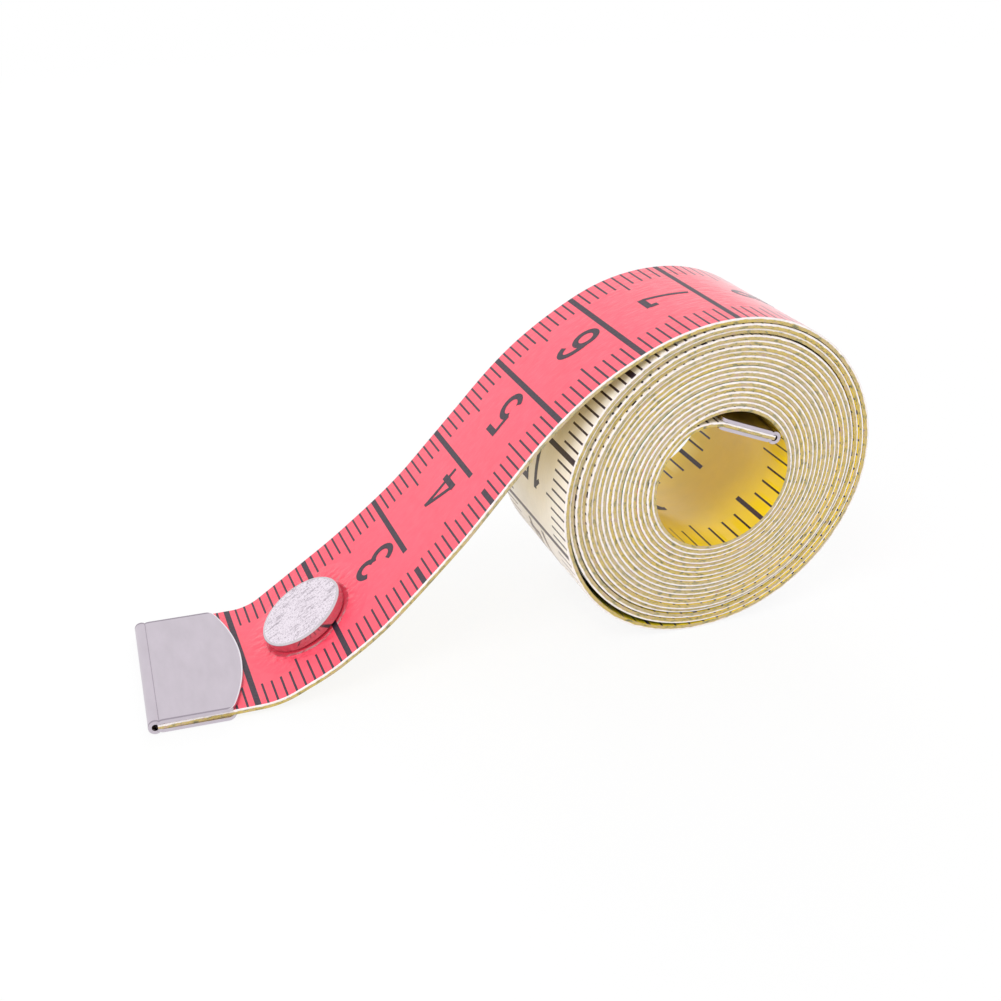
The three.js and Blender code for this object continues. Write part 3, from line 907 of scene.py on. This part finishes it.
def make_tape():
    parents = {f"tail_{i}": f"tail_{i - 1}" for i in range(2, TAIL_LINKS + 1)}
    parents["tail_1"] = f"turn_{TURN_LINKS}"
    cuts = TAIL_CUTS + (PEEL_CUTS[0],)
    for i, (start, end) in enumerate(zip(cuts, cuts[1:])):
        number = TAIL_LINKS - i
        piece = tape_piece(f"free_end_{number}", start, end, FREE_STEP, True)
        bend = {6: CLIP_BEND, 5: BUTTON_BEND}.get(number, (start, end))
        bend_end = hinge_end("tail_1") if number == 1 else joint_ends(bend[1])
        joint_ends(bend[0])
        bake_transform(piece)
        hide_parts(f"tape_tail_{number}")
    for i, (start, end) in enumerate(zip(PEEL_CUTS, PEEL_CUTS[1:])):
        number = TURN_LINKS - i
        piece = tape_piece(f"outer_turn_{number}", start, end, FREE_STEP, True)
        joint_ends(start)
        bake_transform(piece)
        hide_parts(f"tape_turn_{number}")

    inner = tape_piece("inner_end", ROLL_ENDS_AT, TAPE_LENGTH - INNER_TAPE_STOP, INNER_STEP, True)
    straight = TAPE_LENGTH - INNER_LENGTH + INNER_STRAIGHT_FROM
    joint_ends(straight - INNER_BLEND)
    joint_ends(straight)
    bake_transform(inner)
    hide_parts("tape_inner_end")

    roll = tape_piece("wound_roll", PEEL_CUTS[-1], ROLL_ENDS_AT, ROLL_STEP, False, EYE_WALL)
    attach(roll, "roll")
    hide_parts("tape_roll")


make_tape()


# Folded clips. In a clip's own frame the fold is at X = 0, the plates run along +X, and
# Z = 0 is between them.

CLIP_LENGTH = 9.9
CLIP_SHEET = 0.34
CLIP_GRIP = 0.02
CLIP_BEAD = 0.68
CLIP_BEAD_LENGTH = 1.0
CLIP_BEAD_ENDS = 62
CLIP_BEAD_POINTS = 14
CLIP_EASE = (0.8, 1.6)
CLIP_FOLD_END = 1.9
CLIP_FOLD_POINTS = 17
CLIP_PLATE_FROM = 2.2
CLIP_PLATE_POINTS = 12
CLIP_COLUMNS = 41
CLIP_GROOVE = 0.07
CLIP_GROOVE_AT = 1.08
CLIP_GROOVE_WIDTH = 0.1
CLIP_LIFT = 0.05
CLIP_RIM = 0.14
CLIP_RIM_COLUMNS = 3
CLIP_CORNER = 0.8
CLIP_CORNER_DEEP = 0.48
CLIP_CORNER_ROUND = 0.98
CLIP_EDGE = 0.05
CLIP_SHARP = 50
CLIP_SKEW = -2.3
CLIP_BOW = 1.9
INNER_CLIP_LENGTH = 7.9
INNER_CLIP_BOW = 0.9
INNER_CLIP_BEFORE_END = 0.05
# Kinds of clip face: plain tin, painted shade and painted highlight
PLAIN, PAINTED_SHADE, PAINTED_HIGHLIGHT = range(3)


def clip_front(length, bow, across):
    share = np.abs(across) / HALF_WIDTH
    corner = np.clip((np.abs(across) - (HALF_WIDTH - CLIP_CORNER)) / CLIP_CORNER, 0, 1)
    rounded = CLIP_CORNER_DEEP * (1 - np.sqrt(1 - corner**2 * CLIP_CORNER_ROUND))
    return length - bow * share**2 - rounded


def clip_profile(length, tape_half):
    flat = tape_half + CLIP_GRIP + CLIP_SHEET
    around = np.radians(np.linspace(180, CLIP_BEAD_ENDS, CLIP_BEAD_POINTS))
    bead_x = CLIP_BEAD + CLIP_BEAD * np.cos(around)
    bead_z = CLIP_BEAD * np.sin(around)
    fold = np.linspace(CLIP_BEAD_LENGTH, CLIP_FOLD_END, CLIP_FOLD_POINTS)
    plate = np.linspace(CLIP_PLATE_FROM, length - CLIP_RIM, CLIP_PLATE_POINTS)
    x = np.concatenate([fold, plate, [length]])
    groove = CLIP_GROOVE * np.exp(-(((x - CLIP_GROOVE_AT) / CLIP_GROOVE_WIDTH) ** 2))
    ease = (bead_z[-1] - flat) * (1 - smooth(*CLIP_EASE, x))
    return np.concatenate([bead_x, x]), np.concatenate([bead_z, flat + ease - groove])


# Painted shade as a dark line along the clip's sides and in its groove, and a painted highlight as a
# bright line along its front
def rim_kinds(is_inside, is_front, is_groove, count):
    if is_inside:
        return [PLAIN] * count
    if is_front:
        return [PAINTED_HIGHLIGHT] * count
    middle = [PAINTED_SHADE if is_groove else PLAIN] * (count - 2 * CLIP_RIM_COLUMNS)
    side = [PAINTED_SHADE] * CLIP_RIM_COLUMNS
    return side + middle + side


# A folded sheet: its outer and inner layers, joined along the rim
def folded_clip(name, length, bow, tape_half):
    x, z = clip_profile(length, tape_half)
    half = np.stack([x, z], -1)
    outside = np.vstack([half[:0:-1], half * [1, -1]])
    lead = np.gradient(outside, axis=0)
    lead /= np.linalg.norm(lead, axis=1)[:, None]
    aside = np.stack([-lead[:, 1], lead[:, 0]], -1)
    inside = outside + CLIP_SHEET * aside
    across = HALF_WIDTH * np.sin(np.linspace(-np.pi / 2, np.pi / 2, CLIP_COLUMNS))
    reach = clip_front(length, bow, across)
    past_fold = (outside[:, 0] - CLIP_PLATE_FROM) / (length - CLIP_PLATE_FROM)
    share = np.clip(past_fold, 0, 1)[:, None]

    def grid(profile):
        pulled = profile[:, :1] - share * (length - reach[None])
        flat = np.broadcast_to(across[None], pulled.shape)
        high = np.broadcast_to(profile[:, 1:], pulled.shape)
        return np.stack([pulled, flat, high], -1)

    points = np.stack([grid(outside), grid(inside)])
    _, rows, count, _ = points.shape
    index = np.arange(2 * rows * count).reshape(2, rows, count)
    middles = (outside[1:, 0] + outside[:-1, 0]) / 2
    in_groove = np.abs(middles - CLIP_GROOVE_AT) < CLIP_GROOVE_WIDTH / 2
    faces, kinds = [], []
    for layer, order in ((0, 1), (1, -1)):
        for i in range(rows - 1):
            kinds += rim_kinds(layer == 1, i in (0, rows - 2), in_groove[i], count - 1)
            row, after = index[layer, i], index[layer, i + 1]
            for j in range(count - 1):
                quad = [row[j], after[j], after[j + 1], row[j + 1]]
                faces.append([int(v) for v in quad[::order]])
    loop = [(i, 0) for i in range(rows)] + [(rows - 1, j) for j in range(1, count)]
    loop += [(i, count - 1) for i in range(rows - 2, -1, -1)] + [(0, j) for j in range(count - 2, 0, -1)]
    for (i, j), (m, n) in zip(loop, loop[1:] + loop[:1]):
        faces.append([int(index[0, m, n]), int(index[0, i, j]), int(index[1, i, j]), int(index[1, m, n])])
    kinds += [PLAIN] * (len(faces) - len(kinds))
    materials = [TIN, PAINTED_SHADE_TIN, PAINTED_HIGHLIGHT_TIN]
    piece = mesh_piece(name, points.reshape(-1, 3), faces, materials, kinds, CLIP_SHARP)
    round_edges(piece, CLIP_EDGE)
    return piece


def round_edges(piece, width):
    bevel = piece.modifiers.new("rounded", "BEVEL")
    bevel.width = width * MM
    bevel.segments = 2
    bevel.limit_method = "ANGLE"
    bevel.angle_limit = np.radians(CLIP_SHARP)
    bevel.harden_normals = False


NUDGE_ALONG = 0.05
NUDGE_ACROSS = 5.0


# Stands a piece on the tape: its Z axis points out of the printed face.
def stand_on_tape(piece, place, lift, is_turned=False):
    here = Vector(on_tape(place, 0.0, lift))
    sign = -1 if is_turned else 1
    after, before = on_tape(place + NUDGE_ALONG, 0.0, 0.0), on_tape(place - NUDGE_ALONG, 0.0, 0.0)
    far, near = on_tape(place, NUDGE_ACROSS, 0.0), on_tape(place, -NUDGE_ACROSS, 0.0)
    ahead = Vector(after) - Vector(before)
    aside = Vector(far) - Vector(near)
    along = ahead.normalized() * sign
    out = along.cross(aside).normalized() * sign
    turn = Matrix((along, out.cross(along), out)).transposed().to_4x4()
    piece.data.transform(Matrix.Translation(here * MM) @ turn)
    piece.data.update()


def make_clips():
    clip = folded_clip("zero_clip", CLIP_LENGTH, CLIP_BOW, HALF_THICK * swell(0))
    clip.data.transform(Matrix.Rotation(np.radians(CLIP_SKEW), 4, "Z"))
    stand_on_tape(clip, 0.0, CLIP_LIFT)
    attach(clip, "tail_6")
    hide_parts("zero_end_clip")

    tape_half = HALF_THICK * swell(TAPE_LENGTH)
    inner = folded_clip("inner_clip", INNER_CLIP_LENGTH, INNER_CLIP_BOW, tape_half)
    stand_on_tape(inner, TAPE_LENGTH - INNER_CLIP_BEFORE_END, 0.0, True)
    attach(inner, "inner_end")
    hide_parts("inner_end_clip")


make_clips()


# Press fastener: turned pieces about their own Z axis, from points of radius and height. The
# last rings, as many as are faced, have the second material.

TURNED_SIDES = 96


def turned(name, profile, materials, ring_lift=None, faced=0):
    profile = np.array(profile, dtype=float)
    angle = np.linspace(0, 2 * np.pi, TURNED_SIDES, endpoint=False)
    points, rows = [], []
    for radius, height in profile:
        if radius == 0:
            rows.append([len(points)] * TURNED_SIDES)
            points.append((0.0, 0.0, height))
        else:
            rows.append(list(range(len(points), len(points) + TURNED_SIDES)))
            lift = ring_lift(radius, angle, height) if ring_lift else np.zeros(TURNED_SIDES)
            ring = np.stack([radius * np.cos(angle), radius * np.sin(angle), height + lift], -1)
            points += ring.tolist()
    closed = np.allclose(profile[0], profile[-1])
    if closed:
        rows[-1] = rows[0]
    faces, kinds = [], []
    for number, (lower, upper) in enumerate(zip(rows, rows[1:])):
        for i in range(TURNED_SIDES):
            j = (i + 1) % TURNED_SIDES
            corners = [lower[i], lower[j], upper[j], upper[i]]
            faces.append(list(dict.fromkeys(corners)))
            kinds.append(int(number >= len(rows) - faced))
    return mesh_piece(name, points, faces, materials, kinds)


RIVET_RADIUS = 1.4
RIVET_DEPTH = 0.6
CAP_RADIUS = 4.6
CAP_BOTTOM = 0.2
CAP_LIP = 0.2
CAP_TOP = 1.42
CAP_EDGE = 0.18
CAP_EDGE_POINTS = 7
CAP_FACE = 4.3
CAP_FACE_RINGS = 60
CAP_WALL_SLOPE = 0.3
CAP_HOLLOW = 0.02
SOCKET_RADIUS = 3.8
SOCKET_BORE = 1.55
SOCKET_THROAT = 1.9
SOCKET_GROOVE = 2.35
SOCKET_FLOOR = -1.75
SPRING_RADIUS = 2.1
SPRING_WIRE = 0.3
SPRING_LEVEL = -1.33
SPRING_SPLIT = 30
SPRING_POINTS = 60
SPRING_SIDES = 12
KNURL_PITCH = 0.42
KNURL_DEPTH = 0.04
KNURL_SLANT = 0.7
BAND_SLANT = 0.45
BAND_PITCH = 1.7
BAND_SHARE = 0.55


# Crossed ridges of the cap's top, in slanting bands of more and less depth
def knurl(radius, angle, height):
    if height < CAP_TOP or radius > CAP_FACE:
        return np.zeros_like(angle)
    x, y = radius * np.cos(angle), radius * np.sin(angle)

    def ridge(value):
        return np.abs((value / KNURL_PITCH) % 1 - 0.5) * 2

    crossed = np.minimum(ridge(x + KNURL_SLANT * y), ridge(x - KNURL_SLANT * y))
    band = 0.5 + 0.5 * np.sin(2 * np.pi * (x + BAND_SLANT * y) / BAND_PITCH)
    return -KNURL_DEPTH * crossed * (1 - BAND_SHARE + BAND_SHARE * band)


def make_cap():
    edge = [
        (CAP_RADIUS - CAP_EDGE * (1 - np.cos(a)), CAP_TOP - CAP_EDGE * (1 - np.sin(a)))
        for a in np.radians(np.linspace(0, 90, CAP_EDGE_POINTS))
    ]
    face = [(r, CAP_TOP) for r in np.linspace(CAP_FACE, 0, CAP_FACE_RINGS)]
    rivet = [(0, -RIVET_DEPTH), (RIVET_RADIUS, -RIVET_DEPTH), (RIVET_RADIUS, 0.0)]
    under = [(SOCKET_RADIUS, CAP_HOLLOW), (CAP_RADIUS - CAP_LIP, CAP_BOTTOM)]
    wall = [(CAP_RADIUS, CAP_BOTTOM + CAP_LIP)] + edge
    materials = [SILVER, SPARKLE, CAP_WALL_PAINTED_REFLECTION]
    cap = turned("press_cap", rivet + under + wall + face, materials, knurl, len(face))
    # The steep sides take the painted reflection of the red tape.
    for side in cap.data.polygons:
        if abs(side.normal.z) < CAP_WALL_SLOPE:
            side.material_index = materials.index(CAP_WALL_PAINTED_REFLECTION)
    stand_on_tape(cap, BUTTON_FROM_ZERO, HALF_THICK)
    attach(cap, "tail_5")
    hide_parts("snap_cap")


def make_socket():
    top, floor = -TAPE_THICK * swell(BUTTON_FROM_ZERO), SOCKET_FLOOR
    profile = [
        (SOCKET_BORE, top),
        (SOCKET_BORE, top - 0.24),
        (SOCKET_THROAT, top - 0.28),
        (SOCKET_THROAT, floor + 0.7),
        (SOCKET_GROOVE, floor + 0.6),
        (SOCKET_GROOVE, floor + 0.25),
        (SOCKET_THROAT, floor + 0.18),
        (1.95, floor + 0.06),
        (2.1, floor),
        (3.3, floor),
        (3.65, floor + 0.12),
        (SOCKET_RADIUS, floor + 0.4),
        (SOCKET_RADIUS, top),
        (SOCKET_BORE, top),
    ]
    socket = turned("press_socket", profile, [SILVER])
    stand_on_tape(socket, BUTTON_FROM_ZERO, HALF_THICK)
    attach(socket, "tail_5")
    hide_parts("snap_socket")


def make_stud():
    profile = [
        (0, 0.9),
        (0.75, 0.9),
        (0.85, 0.0),
        (2.9, 0.0),
        (3.0, 0.15),
        (2.95, 0.35),
        (2.6, 0.45),
        (1.5, 0.5),
        (1.27, 0.62),
        (1.3, 0.85),
        (1.55, 1.05),
        (1.6, 1.25),
        (1.5, 1.5),
        (1.2, 1.72),
        (0.8, 1.8),
        (0, 1.8),
    ]
    stud = turned("press_stud", profile, [SILVER])
    stand_on_tape(stud, place_at_angle(STUD_ANGLE), HALF_THICK)
    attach(stud, "roll")
    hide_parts("snap_stud")


make_cap()
make_socket()
make_stud()


# Split ring in the socket, as a bent wire with closed ends
def make_spring():
    turns = np.radians(np.linspace(SPRING_SPLIT / 2, 360 - SPRING_SPLIT / 2, SPRING_POINTS))
    around = np.linspace(0, 2 * np.pi, SPRING_SIDES, endpoint=False)
    reach = SPRING_RADIUS + SPRING_WIRE / 2 * np.cos(around)
    high = np.full(SPRING_POINTS, SPRING_LEVEL)[:, None] + SPRING_WIRE / 2 * np.sin(around)
    rings = np.stack([np.cos(turns)[:, None] * reach, np.sin(turns)[:, None] * reach, high], -1)
    index = np.arange(SPRING_POINTS * SPRING_SIDES).reshape(SPRING_POINTS, SPRING_SIDES).tolist()
    faces = [index[0], index[-1][::-1]]
    for ring, after in zip(index, index[1:]):
        for j in range(SPRING_SIDES):
            k = (j + 1) % SPRING_SIDES
            faces.append([ring[j], after[j], after[k], ring[k]])
    spring = mesh_piece("press_spring", rings.reshape(-1, 3), faces, [WIRE])
    stand_on_tape(spring, BUTTON_FROM_ZERO, HALF_THICK)
    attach(spring, "tail_5")
    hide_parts("snap_spring")


make_spring()


def dress_eyelet():
    eyelet = bpy.data.objects["snap_eyelet"]
    eyelet.data.materials.clear()
    eyelet.data.materials.append(SILVER)


dress_eyelet()


# Floor, light and background

FLOOR_SIZE = 3.0
FLOOR_DROP = 0.00005
FLOOR_TONE = 0.86
FLOOR_GLOW = 0.88
FLOOR_FADES = (0.2, 0.45)
SOFT_LIGHT = 0.8


# Light paths, and 1 for rays that come from the camera or by way of a glossy surface
def seen_rays(nodes, links):
    path = nodes.new("ShaderNodeLightPath")
    straight, mirrored = path.outputs["Is Camera Ray"], path.outputs["Is Glossy Ray"]
    return path, math_node(nodes, links, "MAXIMUM", straight, mirrored)


# To the camera the floor glows almost white near the part and fully white further off.
def make_floor():
    mesh = bpy.data.meshes.new("floor")
    half = FLOOR_SIZE / 2
    corners = [(-half, -half), (half, -half), (half, half), (-half, half)]
    mesh.from_pydata([(x, y, -FLOOR_DROP) for x, y in corners], [], [(0, 1, 2, 3)])
    floor = bpy.data.objects.new("floor", mesh)
    bpy.context.scene.collection.objects.link(floor)
    material, nodes, links, shader = node_material("floor")
    shader.inputs["Base Color"].default_value = grey(FLOOR_TONE)
    shader.inputs["Roughness"].default_value = 0.8
    glow = nodes.new("ShaderNodeEmission")
    _, seen = seen_rays(nodes, links)
    away = nodes.new("ShaderNodeVectorMath")
    away.operation = "LENGTH"
    links.new(nodes.new("ShaderNodeTexCoord").outputs["Object"], away.inputs[0])
    fade = [(FLOOR_FADES[0], grey(FLOOR_GLOW)), (FLOOR_FADES[1], grey(1.0))]
    white = ramp(nodes, links, away.outputs["Value"], fade)
    share = math_node(nodes, links, "MULTIPLY", seen, white)
    mix = nodes.new("ShaderNodeMixShader")
    links.new(share, mix.inputs["Fac"])
    links.new(shader.outputs["BSDF"], mix.inputs[1])
    links.new(glow.outputs["Emission"], mix.inputs[2])
    links.new(mix.outputs["Shader"], nodes["Material Output"].inputs["Surface"])
    mesh.materials.append(material)


def make_world():
    world = bpy.data.worlds.new("studio")
    bpy.context.scene.world = world
    world.use_nodes = True
    nodes, links = world.node_tree.nodes, world.node_tree.links
    path, seen = seen_rays(nodes, links)
    seen = math_node(nodes, links, "MAXIMUM", seen, path.outputs["Is Transmission Ray"])
    strength = math_node(nodes, links, "MULTIPLY_ADD", seen, 1 - SOFT_LIGHT)
    strength.node.inputs[2].default_value = SOFT_LIGHT
    background = nodes["Background"]
    background.inputs["Color"].default_value = (1, 1, 1, 1)
    links.new(strength, background.inputs["Strength"])


def make_lamp(name, at, target, size, watts):
    data = bpy.data.lights.new(name, "AREA")
    data.shape = "DISK"
    data.size = size
    data.energy = watts
    lamp = bpy.data.objects.new(name, data)
    lamp.location = at
    lamp.visible_glossy = False
    lamp.rotation_euler = (Vector(target) - Vector(at)).to_track_quat("-Z", "Y").to_euler()
    bpy.context.scene.collection.objects.link(lamp)


make_floor()
make_world()
make_lamp("key", at=(-0.28, -0.3, 0.55), target=(0, 0, 0.01), size=0.35, watts=1.6)
make_lamp("back", at=(0.2, 0.6, 0.25), target=(0.02, 0, 0.015), size=0.4, watts=1.8)
make_lamp("fill", at=(-0.42, -0.38, 0.07), target=(0.01, 0, 0.012), size=0.4, watts=1.15)

bpy.context.scene.view_settings.view_transform = "Standard"
